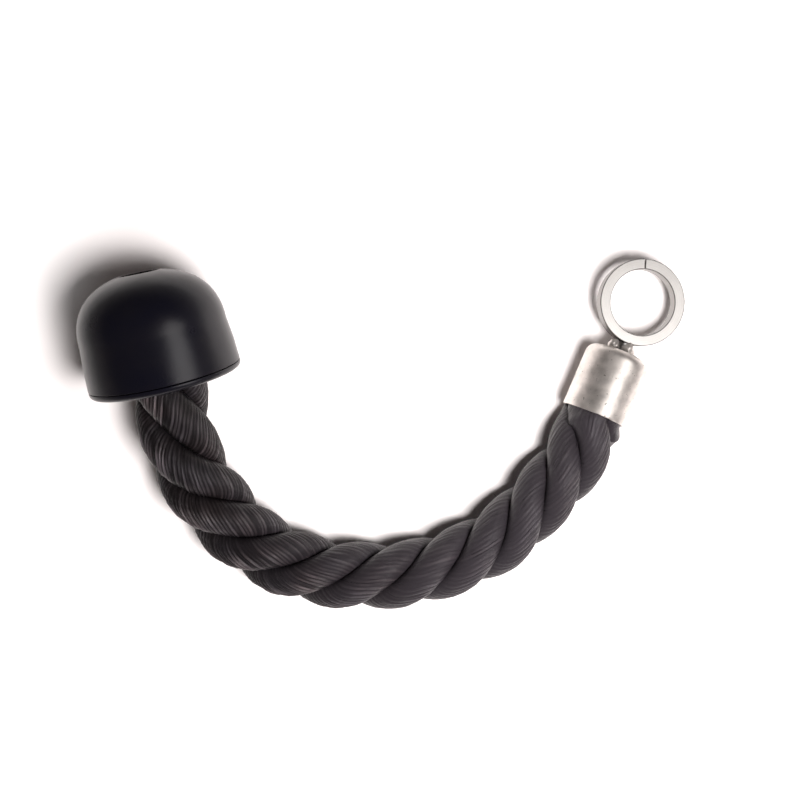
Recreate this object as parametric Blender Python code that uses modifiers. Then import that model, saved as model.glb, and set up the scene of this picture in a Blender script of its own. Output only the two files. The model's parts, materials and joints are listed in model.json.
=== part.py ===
"""Triceps rope attachment for a cable machine.

A three-strand rope lies in a loose arc. One end is held in a round bell-shaped stop
that keeps the hand from sliding off. The other end is set in a metal ferrule with a
swivelling pull ring. Metres, +Z up, floor at z = 0. The origin is on the floor under
the middle of the hard pieces.
"""

import math

import bmesh
import bpy
import numpy as np
from mathutils import Matrix, Vector

# Fits
FIT = 0.0003                      # gap between pieces that touch
CUT_OVERRUN = 0.002               # how far a cutter runs past what it cuts

# Rope: three strands laid up left-handed
STRAND_RADIUS = 0.0064
LAY_RADIUS_SHARE = 1.36           # lay radius as a share of the strand radius
LAY_LENGTH = 0.0765
LAY_PHASE = 0.1357                # distance from the bell at which a groove faces outwards
STRAND_COUNT = 3
LOOSE_SHARE = 1.10                # the lay is looser and thicker near the bell
LOOSE_UNTIL = 0.050
FIRM_FROM = 0.150
EASED_UNTIL = 0.046               # up to here the strands lie longer in the lay
EASED_SHARE = 0.82
TAPER_OUTSIDE = 0.006             # the rope narrows over this length before the ferrule
TAPER_INSIDE = 0.003
POINTS_PER_TURN = 12

# The rope's free route, from the bell to the ferrule
ROUTE = [
    (-0.0963, -0.0294, 0.0284),
    (-0.0943, -0.0420, 0.0256),
    (-0.0889, -0.0581, 0.0226),
    (-0.0796, -0.0725, 0.0199),
    (-0.0675, -0.0865, 0.0179),
    (-0.0520, -0.0973, 0.0168),
    (-0.0312, -0.1046, 0.0160),
    (-0.0116, -0.1063, 0.0156),
    (0.0092, -0.1052, 0.0156),
    (0.0308, -0.0991, 0.0156),
    (0.0476, -0.0906, 0.0156),
    (0.0599, -0.0806, 0.0156),
    (0.0719, -0.0678, 0.0155),
    (0.0814, -0.0568, 0.0153),
    (0.0880, -0.0453, 0.0150),
]

# Bell stop: a domed cover over a thick base disc
BELL_X, BELL_Y = -0.0980, -0.0172
BELL_TILT = math.radians(14.5)    # dome end up
BELL_YAW = math.radians(11)
BELL_RADIUS = 0.0329
BELL_HEIGHT = 0.0478
SKIRT_HEIGHT = 0.022
SKIRT_TOP_SHARE = 0.952           # radius where the dome starts, against the bell's radius
DOME_POWER = 2.3
BELL_WALL = 0.0047
BASE_LIP = 0.003
LIP_ROUND = 0.0022
BASE_HEIGHT = 0.012
TOP_HOLE_RADIUS = 0.0089
PLUG_RECESS = 0.0022
PLUG_FLANGE = 0.0024
PLUG_FLANGE_HEIGHT = 0.0016

# Rope stop inside the bell
STOP_WASHER_CLEARANCE = 0.001     # between the washer's rim and the cover
STOP_WASHER_HEIGHT = 0.002
STOP_BAND_WALL = 0.0018
STOP_BAND_SHARE = 0.386           # of the height inside the cover
TAPE_SHARE = 0.193                # of the same height
TAPE_WALL = 0.0006
FERRULE_TAPE_HEIGHT = 0.006
ROPE_END_PROUD = 0.001

# Ferrule: a drawn metal cup, lying on its side
FERRULE_X, FERRULE_Y = 0.0933, -0.0327
FERRULE_YAW = math.radians(67)  # from +X
FERRULE_RADIUS = 0.01475
FERRULE_LENGTH = 0.031
FERRULE_WALL = 0.0015
FERRULE_TOP_WALL = 0.0024
FERRULE_SHOULDER = 0.0044
FERRULE_LIP = 0.0005

# Swivel stud, held in the ferrule's closed end
STUD_RADIUS = 0.003
STUD_HEAD_RADIUS = 0.0072
STUD_HEAD_HEIGHT = 0.003
THRUST_WASHER_HEIGHT = 0.0012
THRUST_WASHER_RADIUS = 0.0082
BARRIER_HEIGHT = 0.0015
RESIN_HEIGHT = 0.0035

# Pull ring, bent from square bar, its ends meeting in a butt seam
NECK_LENGTH = 0.0052
RING_RADIUS = 0.0199
RING_BAR = 0.0047
RING_DEPTH = 0.0054
RING_EDGE = 0.0004
RING_SWIVEL = math.radians(6)
SEAM_GAP = 0.0004
SEAM_TURN = math.radians(20)

# Weld beads between the stud and the ring: place and half sizes
BEAD_OFFSET = 0.0042
BEAD_HALF_HEIGHT = 0.0022
LEFT_BEAD_HALF = 0.0022
RIGHT_BEAD_HALF = 0.0026

# Facets
ROUND_STEPS = 48
SMALL_STEPS = 32
DOME_STEPS = 12
CAVITY_STEPS = 7
CORNER_STEPS = 5
STRAND_BEVEL = 3


def make_collection(name):
    group = bpy.data.collections.new(name)
    bpy.context.scene.collection.children.link(group)
    return group


def make_material(name, color, roughness, metallic):
    material = bpy.data.materials.new(name)
    material.use_nodes = True
    shader = material.node_tree.nodes["Principled BSDF"]
    shader.inputs["Base Color"].default_value = (*color, 1)
    shader.inputs["Roughness"].default_value = roughness
    shader.inputs["Metallic"].default_value = metallic
    material.diffuse_color = (*color, 1)
    return material


def frame_empty(name, origin, z_axis, y_hint, group):
    """An empty at origin, its local Z along z_axis and its local Y near y_hint."""
    z = Vector(z_axis).normalized()
    x = Vector(y_hint).cross(z).normalized()
    y = z.cross(x)
    empty = bpy.data.objects.new(name, None)
    group.objects.link(empty)
    turn = Matrix((x, y, z)).transposed().to_4x4()
    empty.matrix_world = Matrix.Translation(origin) @ turn
    return empty


def turned(name, profile, material, parent, group, steps=ROUND_STEPS, loop=True):
    """A turned piece: its profile of (radius, height) points, run round the local Z axis."""
    count = len(profile)
    mesh = bpy.data.meshes.new(name)
    edges = [(i, i + 1) for i in range(count - 1)]
    if loop:
        edges.append((count - 1, 0))
    mesh.from_pydata([(r, 0, z) for r, z in profile], edges, [])
    mesh.materials.append(material)
    piece = bpy.data.objects.new(name, mesh)
    group.objects.link(piece)
    piece.parent = parent
    screw = piece.modifiers.new("Turn", "SCREW")
    screw.axis = "Z"
    screw.angle = math.tau
    screw.steps = steps
    screw.render_steps = steps
    screw.use_merge_vertices = True
    screw.merge_threshold = 0.00001
    screw.use_smooth_shade = True
    return piece


def tube_profile(inner, outer, bottom, top):
    return [(inner, top), (outer, top), (outer, bottom), (inner, bottom)]


def corner(centre, radius, start, end, steps=CORNER_STEPS):
    """Points round a corner, from angle start to angle end in degrees, seen with radius to the right."""
    points = []
    for i in range(steps + 1):
        angle = math.radians(start + (end - start) * i / steps)
        points.append((centre[0] + radius * math.cos(angle), centre[1] + radius * math.sin(angle)))
    return points


def dome_arc(radius, base, apex, from_radius, steps):
    """The rounded part of a dome, from the place where its radius is from_radius down to its full radius."""
    start = math.asin((from_radius / radius) ** (DOME_POWER / 2))
    points = []
    for i in range(steps + 1):
        angle = start + (math.pi / 2 - start) * i / steps
        r = radius * math.sin(angle) ** (2 / DOME_POWER)
        z = base + (apex - base) * math.cos(angle) ** (2 / DOME_POWER)
        points.append((r, max(z, base)))
    return points


def apex_for(radius, base, edge_radius, edge_height):
    """The height of the dome's missing tip when its edge at edge_radius is at edge_height."""
    rise = (1 - (edge_radius / radius) ** DOME_POWER) ** (1 / DOME_POWER)
    return base + (edge_height - base) / rise


def smooth_step(t):
    t = min(max(t, 0), 1)
    return t * t * (3 - 2 * t)


# Sizes that follow from the driving ones
ROPE_RADIUS = STRAND_RADIUS * (1 + LAY_RADIUS_SHARE) * LOOSE_SHARE
BORE_RADIUS = ROPE_RADIUS + FIT
CAVITY_RADIUS = BELL_RADIUS - BELL_WALL
SPIGOT_RADIUS = CAVITY_RADIUS - FIT
CAVITY_TOP = BELL_HEIGHT - BELL_WALL
STOP_WASHER_RADIUS = CAVITY_RADIUS - STOP_WASHER_CLEARANCE
STOP_BAND_HEIGHT = (CAVITY_TOP - BASE_HEIGHT) * STOP_BAND_SHARE
BELL_TAPE_HEIGHT = (CAVITY_TOP - BASE_HEIGHT) * TAPE_SHARE
WASHER_BOTTOM = BASE_HEIGHT + FIT
BAND_BOTTOM = WASHER_BOTTOM + STOP_WASHER_HEIGHT + FIT
BELL_TAPE_BOTTOM = BAND_BOTTOM + STOP_BAND_HEIGHT + FIT
BELL_ROPE_HELD = BELL_TAPE_BOTTOM + BELL_TAPE_HEIGHT + ROPE_END_PROUD
CUP_RADIUS = FERRULE_RADIUS - FERRULE_WALL
CUP_TOP = FERRULE_LENGTH - FERRULE_TOP_WALL
THRUST_BOTTOM = CUP_TOP - FIT - THRUST_WASHER_HEIGHT
HEAD_BOTTOM = THRUST_BOTTOM - FIT - STUD_HEAD_HEIGHT
BARRIER_BOTTOM = HEAD_BOTTOM - FIT - BARRIER_HEIGHT
RESIN_BOTTOM = BARRIER_BOTTOM - FIT - RESIN_HEIGHT
FERRULE_ROPE_HELD = RESIN_BOTTOM - FIT
HELD_RADIUS = CUP_RADIUS - TAPE_WALL - 2 * FIT
RING_CENTRE = FERRULE_LENGTH + NECK_LENGTH + RING_RADIUS
RING_BOTTOM = FERRULE_LENGTH + NECK_LENGTH


def bell_axis():
    flat = math.cos(BELL_TILT)
    return Vector((-flat * math.sin(BELL_YAW), flat * math.cos(BELL_YAW), math.sin(BELL_TILT)))


def bell_origin():
    """The middle of the bell's mouth, at the height where the bell rests on its lip."""
    height = BELL_RADIUS * math.cos(BELL_TILT)
    height += LIP_ROUND * (1 - math.cos(BELL_TILT) - math.sin(BELL_TILT))
    return Vector((BELL_X, BELL_Y, height))


def ferrule_axis():
    return Vector((math.cos(FERRULE_YAW), math.sin(FERRULE_YAW), 0))


def ferrule_origin():
    return Vector((FERRULE_X, FERRULE_Y, FERRULE_RADIUS))


def build_bell(frame, group, looks):
    skirt_top = BELL_RADIUS * SKIRT_TOP_SHARE
    apex = apex_for(skirt_top, SKIRT_HEIGHT, TOP_HOLE_RADIUS, BELL_HEIGHT)
    seat_radius = TOP_HOLE_RADIUS + PLUG_FLANGE + FIT
    inner_top = CAVITY_RADIUS * SKIRT_TOP_SHARE
    lip_top = BASE_LIP + FIT / 2
    dome = dome_arc(skirt_top, SKIRT_HEIGHT, apex, TOP_HOLE_RADIUS, DOME_STEPS)
    dome += [(BELL_RADIUS, lip_top), (CAVITY_RADIUS, lip_top), (CAVITY_RADIUS, BASE_HEIGHT + FIT)]
    inside = dome_arc(inner_top, SKIRT_HEIGHT, CAVITY_TOP, seat_radius, CAVITY_STEPS)
    dome += list(reversed(inside))
    dome += [(seat_radius, CAVITY_TOP), (TOP_HOLE_RADIUS, CAVITY_TOP)]
    turned("bell_dome", dome, looks["moulded"], frame, group)

    lip_bottom = BASE_LIP - FIT / 2
    edge = corner((BELL_RADIUS - LIP_ROUND, LIP_ROUND), LIP_ROUND, 0, -90)
    base = [(BORE_RADIUS, BASE_HEIGHT), (SPIGOT_RADIUS, BASE_HEIGHT), (SPIGOT_RADIUS, lip_bottom),
            (BELL_RADIUS, lip_bottom), *edge, (BORE_RADIUS, 0)]
    turned("bell_base", base, looks["moulded"], frame, group)

    stem = TOP_HOLE_RADIUS - FIT
    flange = TOP_HOLE_RADIUS + PLUG_FLANGE
    plug_top = BELL_HEIGHT - PLUG_RECESS
    flange_top = CAVITY_TOP - FIT
    flange_bottom = flange_top - PLUG_FLANGE_HEIGHT
    plug = [(0, plug_top), (stem, plug_top), (stem, flange_top), (flange, flange_top),
            (flange, flange_bottom), (0, flange_bottom)]
    turned("bell_top_plug", plug, looks["moulded"], frame, group, loop=False)


def build_rope_stop(frame, group, looks):
    washer = tube_profile(BORE_RADIUS, STOP_WASHER_RADIUS,
                          WASHER_BOTTOM, WASHER_BOTTOM + STOP_WASHER_HEIGHT)
    turned("rope_stop_washer", washer, looks["steel"], frame, group)
    band = tube_profile(BORE_RADIUS, BORE_RADIUS + STOP_BAND_WALL,
                        BAND_BOTTOM, BAND_BOTTOM + STOP_BAND_HEIGHT)
    turned("rope_stop_band", band, looks["steel"], frame, group)
    tape = tube_profile(BORE_RADIUS, BORE_RADIUS + TAPE_WALL,
                        BELL_TAPE_BOTTOM, BELL_TAPE_BOTTOM + BELL_TAPE_HEIGHT)
    turned("rope_end_tape_bell", tape, looks["tape"], frame, group)


def build_ferrule(frame, group, looks):
    hole = STUD_RADIUS + FIT
    shoulder = corner((FERRULE_RADIUS - FERRULE_SHOULDER, FERRULE_LENGTH - FERRULE_SHOULDER),
                      FERRULE_SHOULDER, 90, 0)
    cup = [(hole, FERRULE_LENGTH), *shoulder, (FERRULE_RADIUS, FERRULE_LIP),
           (FERRULE_RADIUS - FERRULE_LIP, 0), (CUP_RADIUS + FERRULE_LIP, 0),
           (CUP_RADIUS, FERRULE_LIP), (CUP_RADIUS, CUP_TOP), (hole, CUP_TOP)]
    turned("ferrule", cup, looks["nickel"], frame, group)

    fill = CUP_RADIUS - FIT
    resin = tube_profile(0, fill, RESIN_BOTTOM, RESIN_BOTTOM + RESIN_HEIGHT)
    turned("ferrule_resin", resin, looks["resin"], frame, group, SMALL_STEPS, loop=False)
    barrier = tube_profile(0, fill, BARRIER_BOTTOM, BARRIER_BOTTOM + BARRIER_HEIGHT)
    turned("swivel_barrier_disc", barrier, looks["steel"], frame, group, SMALL_STEPS, loop=False)
    thrust = tube_profile(hole, THRUST_WASHER_RADIUS, THRUST_BOTTOM, THRUST_BOTTOM + THRUST_WASHER_HEIGHT)
    turned("swivel_thrust_washer", thrust, looks["brass"], frame, group, SMALL_STEPS)

    tape_top = FERRULE_ROPE_HELD - ROPE_END_PROUD
    tape = tube_profile(HELD_RADIUS + FIT, HELD_RADIUS + FIT + TAPE_WALL,
                        tape_top - FERRULE_TAPE_HEIGHT, tape_top)
    turned("rope_end_tape_ferrule", tape, looks["tape"], frame, group)


def difference(piece, cutter):
    cut = piece.modifiers.new("Cut", "BOOLEAN")
    cut.operation = "DIFFERENCE"
    cut.object = cutter


def as_cutter(piece, cutters):
    for owner in list(piece.users_collection):
        owner.objects.unlink(piece)
    cutters.objects.link(piece)
    piece.hide_render = True
    piece.display_type = "WIRE"


def build_swivel(frame, group, cutters, looks):
    stud_top = RING_BOTTOM - FIT
    head_top = HEAD_BOTTOM + STUD_HEAD_HEIGHT
    stud = [(0, stud_top), (STUD_RADIUS, stud_top), (STUD_RADIUS, head_top),
            (STUD_HEAD_RADIUS, head_top), (STUD_HEAD_RADIUS, HEAD_BOTTOM), (0, HEAD_BOTTOM)]
    turned("swivel_stud", stud, looks["steel"], frame, group, SMALL_STEPS, loop=False)

    inner = RING_RADIUS - RING_BAR
    ring = turned("pull_ring", tube_profile(inner, RING_RADIUS, -RING_DEPTH / 2, RING_DEPTH / 2),
                  looks["polished"], frame, group)
    ring.location = (0, 0, RING_CENTRE)
    ring.rotation_euler = (-math.pi / 2, 0, 0)
    seam = box("seam_cutter", (RING_BAR + CUT_OVERRUN, SEAM_GAP, RING_DEPTH + CUT_OVERRUN))
    seam.parent = ring
    # The ring's local -Y runs along the ferrule's axis, away from the stud
    away = Matrix.Rotation(SEAM_TURN - math.pi / 2, 4, "Z")
    seam.matrix_local = away @ Matrix.Translation((RING_RADIUS - RING_BAR / 2, 0, 0))
    as_cutter(seam, cutters)
    difference(ring, seam)
    bevel = ring.modifiers.new("Edges", "BEVEL")
    bevel.width = RING_EDGE
    bevel.segments = 1
    bevel.limit_method = "ANGLE"

    shank = turned("shank_cutter", tube_profile(0, STUD_RADIUS + FIT, FERRULE_LENGTH, RING_BOTTOM + CUT_OVERRUN),
                   looks["steel"], frame, cutters, SMALL_STEPS, loop=False)
    as_cutter(shank, cutters)
    for name, side, half in (("ring_weld_left", 1, LEFT_BEAD_HALF), ("ring_weld_right", -1, RIGHT_BEAD_HALF)):
        mesh = bpy.data.meshes.new(name)
        shape = bmesh.new()
        bmesh.ops.create_uvsphere(shape, u_segments=16, v_segments=10, radius=1)
        bmesh.ops.scale(shape, vec=(half, BEAD_HALF_HEIGHT, BEAD_HALF_HEIGHT), verts=shape.verts)
        shape.to_mesh(mesh)
        shape.free()
        mesh.shade_smooth()
        mesh.materials.append(looks["weld"])
        bead = bpy.data.objects.new(name, mesh)
        group.objects.link(bead)
        bead.parent = frame
        bead.location = (side * BEAD_OFFSET, 0, (FERRULE_LENGTH + RING_BOTTOM) / 2)
        difference(bead, shank)


def box(name, size):
    mesh = bpy.data.meshes.new(name)
    shape = bmesh.new()
    bmesh.ops.create_cube(shape, size=1)
    bmesh.ops.scale(shape, vec=size, verts=shape.verts)
    shape.to_mesh(mesh)
    shape.free()
    piece = bpy.data.objects.new(name, mesh)
    bpy.context.scene.collection.objects.link(piece)
    return piece


def rope_line():
    """The rope's middle line with its held ends: evenly spaced points and their distances from the bell."""
    start, end = bell_origin(), ferrule_origin()
    points = [start + bell_axis() * BELL_ROPE_HELD, start + bell_axis() * (BELL_ROPE_HELD / 2), start]
    points += [Vector(p) for p in ROUTE]
    points += [end, end + ferrule_axis() * (FERRULE_ROPE_HELD / 2), end + ferrule_axis() * FERRULE_ROPE_HELD]
    padded = [2 * points[0] - points[1], *points, 2 * points[-1] - points[-2]]
    fine = []
    for i in range(1, len(padded) - 2):
        fine += spline_stretch(padded[i - 1], padded[i], padded[i + 1], padded[i + 2])
    fine.append(points[-1])
    fine = np.array(fine)
    along = np.concatenate([[0], np.cumsum(np.linalg.norm(np.diff(fine, axis=0), axis=1))])
    count = round(along[-1] / LAY_LENGTH * POINTS_PER_TURN)
    stops = np.linspace(0, along[-1], count + 1)
    line = np.column_stack([np.interp(stops, along, fine[:, axis]) for axis in range(3)])
    return line, stops - BELL_ROPE_HELD


def spline_stretch(before, start, end, after, steps=16):
    """Points from start to end on a smooth curve that heads the way its neighbours lie."""
    gaps = [math.sqrt((b - a).length) for a, b in ((before, start), (start, end), (end, after))]
    t0 = 0
    t1 = t0 + gaps[0]
    t2 = t1 + gaps[1]
    t3 = t2 + gaps[2]
    points = []
    for i in range(steps):
        t = t1 + (t2 - t1) * i / steps
        a = before.lerp(start, (t - t0) / (t1 - t0))
        b = start.lerp(end, (t - t1) / (t2 - t1))
        c = end.lerp(after, (t - t2) / (t3 - t2))
        d = a.lerp(b, (t - t0) / (t2 - t0))
        e = b.lerp(c, (t - t1) / (t3 - t1))
        points.append(d.lerp(e, (t - t1) / (t2 - t1)))
    return points


def build_strands(group, looks):
    line, stops = rope_line()
    headings = np.gradient(line, axis=0)
    headings /= np.linalg.norm(headings, axis=1)[:, None]
    mouth = stops[-1] - FERRULE_ROPE_HELD
    held_strand = HELD_RADIUS / (1 + LAY_RADIUS_SHARE)
    for number in range(STRAND_COUNT):
        name = f"rope_strand_{number + 1}"
        curve = bpy.data.curves.new(name, "CURVE")
        curve.dimensions = "3D"
        curve.bevel_depth = STRAND_RADIUS
        curve.bevel_resolution = STRAND_BEVEL
        curve.use_fill_caps = True
        spline = curve.splines.new("POLY")
        spline.points.add(len(line) - 1)
        spline.use_smooth = True
        for point, place, heading, along in zip(spline.points, line, headings, stops):
            loose = LOOSE_SHARE + (1 - LOOSE_SHARE) * smooth_step((along - LOOSE_UNTIL) / (FIRM_FROM - LOOSE_UNTIL))
            taper = smooth_step((along - mouth + TAPER_OUTSIDE) / (TAPER_OUTSIDE + TAPER_INSIDE))
            radius = STRAND_RADIUS * loose
            radius += (held_strand - radius) * taper
            outward = Vector(heading).cross(Vector((0, 0, 1))).normalized()
            upward = outward.cross(Vector(heading))
            laid = min(max(along, stops[1]), stops[-2])    # the cut ends run straight
            if laid < EASED_UNTIL:
                laid = EASED_UNTIL - (EASED_UNTIL - laid) * EASED_SHARE
            turn = math.tau * ((laid - LAY_PHASE) / LAY_LENGTH + (number + 0.5) / STRAND_COUNT)
            offset = (outward * math.cos(turn) + upward * math.sin(turn)) * radius * LAY_RADIUS_SHARE
            point.co = (*(Vector(place) + offset), 1)
            point.radius = radius / STRAND_RADIUS
        curve.materials.append(looks["rope"])
        group.objects.link(bpy.data.objects.new(name, curve))


def main():
    for item in list(bpy.data.objects):
        bpy.data.objects.remove(item, do_unlink=True)
    group = make_collection("triceps_rope_attachment")
    cutters = make_collection("cutters")
    looks = {
        "rope": make_material("charcoal_rope_fibre", (0.030, 0.028, 0.031), 0.75, 0),
        "moulded": make_material("black_moulded_rubber", (0.008, 0.008, 0.011), 0.42, 0),
        "nickel": make_material("satin_nickel", (0.60, 0.57, 0.54), 0.34, 1),
        "polished": make_material("polished_steel", (0.78, 0.76, 0.74), 0.2, 1),
        "weld": make_material("weld_steel", (0.45, 0.43, 0.41), 0.45, 1),
        "steel": make_material("zinc_plated_steel", (0.55, 0.55, 0.55), 0.4, 1),
        "brass": make_material("brass_washer", (0.62, 0.45, 0.20), 0.35, 1),
        "tape": make_material("black_cloth_tape", (0.02, 0.02, 0.02), 0.85, 0),
        "resin": make_material("amber_resin", (0.35, 0.20, 0.06), 0.3, 0),
    }
    up = (0, 0, 1)
    bell = frame_empty("bell_frame", bell_origin(), bell_axis(), up, group)
    cup = frame_empty("ferrule_frame", ferrule_origin(), ferrule_axis(), up, group)
    swivel = bpy.data.objects.new("swivel_frame", None)
    group.objects.link(swivel)
    swivel.parent = cup
    swivel.rotation_euler = (0, 0, RING_SWIVEL)
    build_bell(bell, group, looks)
    build_rope_stop(bell, group, looks)
    build_ferrule(cup, group, looks)
    build_swivel(swivel, group, cutters, looks)
    build_strands(group, looks)


main()
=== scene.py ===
# %% [markdown]
# # Triceps rope attachment
# A short three-strand rope lies in an open arc. A rubber bell stops the hand at one end,
# and a metal ferrule with a swivelling ring closes the other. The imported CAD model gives
# every place and size, and this file dresses it: the rope gets its yarns, the rubber and
# the metal get rounded edges and worked surfaces, and two soft lamps light a white table.
# All lengths are metres, and the floor is at z = 0.

# %% Load the fixed frame
import json
import math

import bmesh
import bpy
import numpy as np
from mathutils import Matrix, Vector, noise
from mathutils.kdtree import KDTree


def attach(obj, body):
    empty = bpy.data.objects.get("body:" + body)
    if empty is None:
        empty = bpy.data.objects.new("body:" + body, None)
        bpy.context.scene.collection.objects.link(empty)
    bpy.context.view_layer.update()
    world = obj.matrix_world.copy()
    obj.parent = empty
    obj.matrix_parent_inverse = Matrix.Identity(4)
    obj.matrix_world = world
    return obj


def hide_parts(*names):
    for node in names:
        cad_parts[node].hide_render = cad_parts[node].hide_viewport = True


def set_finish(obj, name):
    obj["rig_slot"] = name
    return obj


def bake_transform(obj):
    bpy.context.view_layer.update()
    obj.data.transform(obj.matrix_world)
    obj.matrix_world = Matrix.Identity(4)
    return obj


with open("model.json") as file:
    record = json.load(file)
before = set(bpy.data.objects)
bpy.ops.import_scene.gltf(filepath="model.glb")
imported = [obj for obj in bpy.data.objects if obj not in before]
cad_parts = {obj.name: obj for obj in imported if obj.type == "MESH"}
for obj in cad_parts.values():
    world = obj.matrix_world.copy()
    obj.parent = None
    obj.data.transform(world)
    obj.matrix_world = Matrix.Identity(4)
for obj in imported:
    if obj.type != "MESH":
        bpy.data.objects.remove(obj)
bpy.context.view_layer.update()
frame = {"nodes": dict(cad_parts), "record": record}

# %% [markdown]
# ## Camera
# The photograph looks straight down at the table. A camera without any turn does that
# in Blender: it looks along -Z with +Y up in the picture. Its height and lens were found
# by laying the plain CAD model over the photograph until ring, ferrule and bell all fit.

# %% Camera straight above the rope
CAMERA_PLACE = (0.0044, -0.0258, 0.390)
CAMERA_LENS = 36.675             # mm, on a 36 mm sensor


def placed(name, data):
    """A new object in the scene."""
    made = bpy.data.objects.new(name, data)
    bpy.context.scene.collection.objects.link(made)
    return made


camera_data = bpy.data.cameras.new("camera")
camera_data.lens = CAMERA_LENS
camera = placed("camera", camera_data)
camera.location = CAMERA_PLACE
bpy.context.scene.camera = camera
print("camera field of view:", round(math.degrees(camera_data.angle), 1), "degrees")

# %% [markdown]
# ## Rope: the middle line
# The rope is a cord of fixed length, so its line comes before its looks. The points are
# the CAD source's own: out of the bell, down to the floor, round the arc and into the
# ferrule. A centripetal spline joins them, because it never overshoots between points
# that lie at uneven distances.

# %% Points of the rope's route
BELL_MOUTH = Vector((-0.0980, -0.0172, 0.031371))
BELL_AXIS = Vector((-0.18473, 0.95036, 0.25038))
FERRULE_MOUTH = Vector((0.0933, -0.0327, 0.01475))
FERRULE_AXIS = Vector((0.39073, 0.92050, 0))
BELL_HELD = 0.033907             # length of rope inside the bell
FERRULE_HELD = 0.017900          # length of rope inside the ferrule
ROUTE = [
    (-0.0963, -0.0294, 0.0284), (-0.0943, -0.0420, 0.0256), (-0.0889, -0.0581, 0.0226),
    (-0.0796, -0.0725, 0.0199), (-0.0675, -0.0865, 0.0179), (-0.0520, -0.0973, 0.0168),
    (-0.0312, -0.1046, 0.0160), (-0.0116, -0.1063, 0.0156), (0.0092, -0.1052, 0.0156),
    (0.0308, -0.0991, 0.0156), (0.0476, -0.0906, 0.0156), (0.0599, -0.0806, 0.0156),
    (0.0719, -0.0678, 0.0155), (0.0814, -0.0568, 0.0153), (0.0880, -0.0453, 0.0150),
]


def spline_points(points, steps):
    """Points on a centripetal spline through the given ones."""
    points = [2 * points[0] - points[1], *points, 2 * points[-1] - points[-2]]
    line = []
    for before, start, end, after in zip(points, points[1:], points[2:], points[3:]):
        t0 = 0
        t1 = t0 + math.sqrt((start - before).length)
        t2 = t1 + math.sqrt((end - start).length)
        t3 = t2 + math.sqrt((after - end).length)
        for i in range(steps):
            t = t1 + (t2 - t1) * i / steps
            a = before.lerp(start, (t - t0) / (t1 - t0))
            b = start.lerp(end, (t - t1) / (t2 - t1))
            c = end.lerp(after, (t - t2) / (t3 - t2))
            d = a.lerp(b, (t - t0) / (t2 - t0))
            e = b.lerp(c, (t - t1) / (t3 - t1))
            line.append(d.lerp(e, (t - t1) / (t2 - t1)))
    return line + [points[-2]]


# %% The middle line, evenly spaced
RINGS = 262                      # stations along the rope, each a ring of every strand
ROUTE_STEPS = 16                 # points of the spline between two points of the route

held_bell = [BELL_MOUTH + BELL_AXIS * BELL_HELD * share for share in (1, 0.5, 0)]
held_ferrule = [FERRULE_MOUTH + FERRULE_AXIS * FERRULE_HELD * share for share in (0, 0.5, 1)]
route = held_bell + [Vector(p) for p in ROUTE] + held_ferrule
rough = np.array(spline_points(route, ROUTE_STEPS))
rough_along = np.concatenate([[0], np.cumsum(np.linalg.norm(np.diff(rough, axis=0), axis=1))])
ROPE_LENGTH = rough_along[-1]
stations = np.linspace(0, ROPE_LENGTH, RINGS)
middle = np.column_stack([np.interp(stations, rough_along, rough[:, k]) for k in range(3)])
along = stations - BELL_HELD     # distance from the bell's mouth
print("rope length with its held ends:", round(ROPE_LENGTH * 1000, 1), "mm")

# %% [markdown]
# ## Rope: how the strands lie
# A laid rope is three strands wound round each other. Each strand's own middle is a
# helix about the rope's line. The lay is looser and thicker near the bell, and the
# rope narrows just before the ferrule, as a pressed-in rope end does.

# %% Lay of the strands
STRAND_RADIUS = 0.0064
LAY_RADIUS_SHARE = 1.36          # lay radius as a share of the strand radius
LAY_LENGTH = 0.0765
LAY_PHASE = 0.1357
STRAND_COUNT = 3
LOOSE_SHARE = 1.10
LOOSE_UNTIL, FIRM_FROM = 0.050, 0.150
EASED_UNTIL, EASED_SHARE = 0.046, 0.82     # a longer lay where the rope leaves the bell
TAPER_OUTSIDE, TAPER_INSIDE = 0.006, 0.003
HELD_ROPE_RADIUS = 0.01205       # of the whole rope inside the ferrule
HELD_STRAND_RADIUS = HELD_ROPE_RADIUS / (1 + LAY_RADIUS_SHARE)
CUT_END = 0.0064                 # the last bit of each end lies straight


def smooth_step(value):
    """Rises from 0 to 1 with the value, without a corner at either end."""
    value = np.clip(value, 0, 1)
    return value * value * (3 - 2 * value)


mouth_along = ROPE_LENGTH - BELL_HELD - FERRULE_HELD
loose = LOOSE_SHARE + (1 - LOOSE_SHARE) * smooth_step((along - LOOSE_UNTIL) / (FIRM_FROM - LOOSE_UNTIL))
taper = smooth_step((along - mouth_along + TAPER_OUTSIDE) / (TAPER_OUTSIDE + TAPER_INSIDE))
strand_radius = STRAND_RADIUS * loose
strand_radius += (HELD_STRAND_RADIUS - strand_radius) * taper

heading = np.gradient(middle, axis=0)
heading /= np.linalg.norm(heading, axis=1)[:, None]
outward = np.cross(heading, (0, 0, 1))
outward /= np.linalg.norm(outward, axis=1)[:, None]
upward = np.cross(outward, heading)
laid = np.clip(along, CUT_END - BELL_HELD, mouth_along + FERRULE_HELD - CUT_END)
laid = np.where(laid < EASED_UNTIL, EASED_UNTIL - (EASED_UNTIL - laid) * EASED_SHARE, laid)


def strand_middle(number):
    """The middle line of one strand, and the direction from the rope's line to it."""
    turn = math.tau * ((laid - LAY_PHASE) / LAY_LENGTH + (number + 0.5) / STRAND_COUNT)
    away = outward * np.cos(turn)[:, None] + upward * np.sin(turn)[:, None]
    return middle + away * (strand_radius * LAY_RADIUS_SHARE)[:, None], away


strand_lines = [strand_middle(number) for number in range(STRAND_COUNT)]
radius_range = strand_radius.min(), strand_radius.max()
print("strand radius:", [round(r * 1000, 2) for r in radius_range], "mm")

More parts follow.
